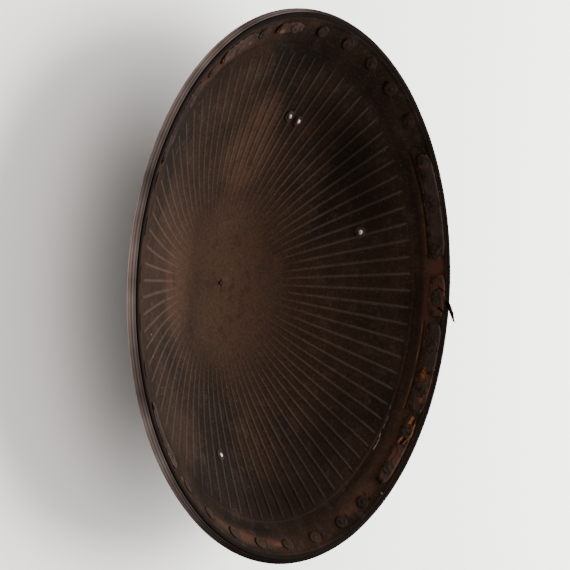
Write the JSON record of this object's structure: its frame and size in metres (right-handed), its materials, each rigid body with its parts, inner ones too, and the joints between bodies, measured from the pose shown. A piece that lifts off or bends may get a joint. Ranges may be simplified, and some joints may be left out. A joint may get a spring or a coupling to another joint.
{
  "type": "rondache shield",
  "caption": "Round domed iron shield with radial flutes, a rolled rim, lining rivets and torn leather remains, lying hollow side up.",
  "frame": {"origin": "middle of the flat spot on the domed outer face that the shield lies on", "axes": "+Z is the shield's axis and points out of its hollow inner side; +X points at the side of the rim where the torn leather flap is"},
  "size_m": [0.5596, 0.5592, 0.1026],
  "materials": {
    "plate_iron": "hammered iron sheet with a dark brown, nearly black patina, browner in the middle, with rust tints on the border",
    "rivet_iron": "dark iron rivets and thin oval iron washers, greyer than the plate, with rust round them",
    "strap_iron": "iron rivet ends, rubbed bright in places on small dark washers",
    "old_leather": "dried, cracked lining leather, grey brown with torn edges of tan and orange"
  },
  "bodies": {
    "root": {"iron_plate": "plate_iron", "centre_shank": "rivet_iron", "lining_rivet_01": "rivet_iron", "lining_rivet_02": "rivet_iron", "lining_rivet_03": "rivet_iron", "lining_rivet_04": "rivet_iron", "lining_rivet_05": "rivet_iron", "lining_rivet_06": "rivet_iron", "lining_rivet_07": "rivet_iron", "lining_rivet_08": "rivet_iron", "lining_rivet_09": "rivet_iron", "lining_rivet_10": "rivet_iron", "lining_rivet_11": "rivet_iron", "lining_rivet_12": "rivet_iron", "lining_rivet_13": "rivet_iron", "lining_rivet_14": "rivet_iron", "lining_rivet_15": "rivet_iron", "lining_rivet_16": "rivet_iron", "lining_rivet_17": "rivet_iron", "lining_rivet_18": "rivet_iron", "lining_rivet_19": "rivet_iron", "lining_rivet_20": "rivet_iron", "lining_rivet_21": "rivet_iron", "lining_rivet_22": "rivet_iron", "lining_rivet_23": "rivet_iron", "lining_rivet_24": "rivet_iron", "lining_rivet_25": "rivet_iron", "lining_rivet_26": "rivet_iron", "lining_rivet_27": "rivet_iron", "lining_rivet_28": "rivet_iron", "lining_rivet_29": "rivet_iron", "lining_rivet_30": "rivet_iron", "lining_rivet_31": "rivet_iron", "lining_rivet_32": "rivet_iron", "lining_rivet_33": "rivet_iron", "lining_rivet_34": "rivet_iron", "strap_rivet_upper_a": "strap_iron", "strap_rivet_upper_b": "strap_iron", "strap_rivet_right": "strap_iron", "strap_rivet_lower": "strap_iron", "leather_strip_upper": "old_leather", "leather_flap": "old_leather", "leather_strip_middle": "old_leather", "leather_strip_lower": "old_leather", "leather_scrap_top": "old_leather", "leather_scrap_crown": "old_leather", "leather_strip_near_top": "old_leather", "leather_strip_near_foot": "old_leather"}
  },
  "joints": []
}
